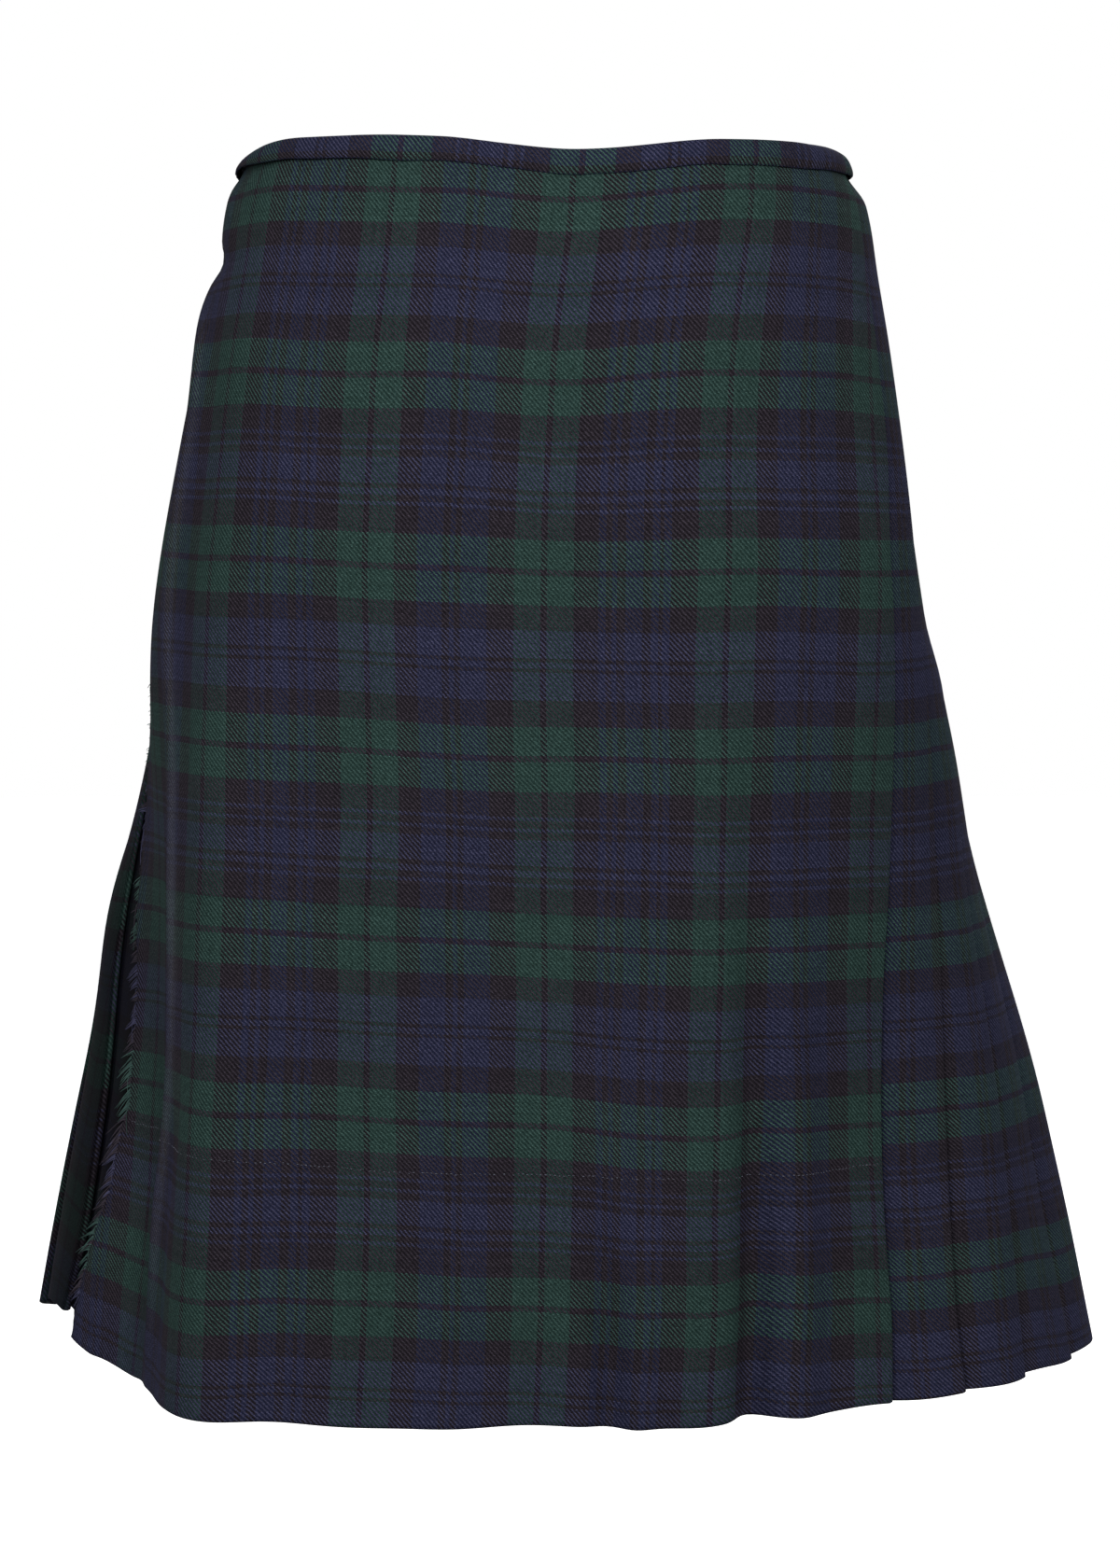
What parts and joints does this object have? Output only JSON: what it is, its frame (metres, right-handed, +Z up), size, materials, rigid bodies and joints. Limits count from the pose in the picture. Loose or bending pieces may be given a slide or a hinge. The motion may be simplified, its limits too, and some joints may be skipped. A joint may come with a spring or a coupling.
{
  "type": "scottish kilt",
  "caption": "Pleated wool tartan kilt, open as worn: flat front apron with a fringed edge, knife pleats round the back, narrow waistband, strap and buckle at each hip.",
  "frame": {"origin": "centre of the waist opening, level with the top of the waistband at the centre front, where the wearer's waist holds the kilt", "axes": "+Z up; the over apron faces -Y; +X is the wearer's left"},
  "size_m": [0.5633, 0.361, 0.6202],
  "materials": {
    "tartan_wool": "dark blue, green and black tartan in 2/2 twill wool, matt with a faint nap",
    "strap_leather": "black strap leather, fine grain, edge stained",
    "buckle_metal": "bright nickel plate, lightly rubbed"
  },
  "bodies": {
    "root": {"over_apron": "tartan_wool", "fringe": "tartan_wool", "under_apron": "tartan_wool", "pleat_01": "tartan_wool", "pleat_02": "tartan_wool", "pleat_03": "tartan_wool", "pleat_04": "tartan_wool", "pleat_05": "tartan_wool", "pleat_06": "tartan_wool", "pleat_07": "tartan_wool", "pleat_08": "tartan_wool", "pleat_09": "tartan_wool", "pleat_10": "tartan_wool", "pleat_11": "tartan_wool", "pleat_12": "tartan_wool", "pleat_13": "tartan_wool", "pleat_14": "tartan_wool", "pleat_15": "tartan_wool", "pleat_16": "tartan_wool", "pleat_17": "tartan_wool", "pleat_18": "tartan_wool", "waistband_over_apron": "tartan_wool", "waistband_back": "tartan_wool", "waistband_under_apron": "tartan_wool", "strap_left": "strap_leather", "buckle_tab_left": "strap_leather", "keeper_left": "strap_leather", "buckle_frame_left": "buckle_metal", "prong_left": "buckle_metal", "strap_right": "strap_leather", "buckle_tab_right": "strap_leather", "keeper_right": "strap_leather", "buckle_frame_right": "buckle_metal", "prong_right": "buckle_metal"}
  },
  "joints": []
}
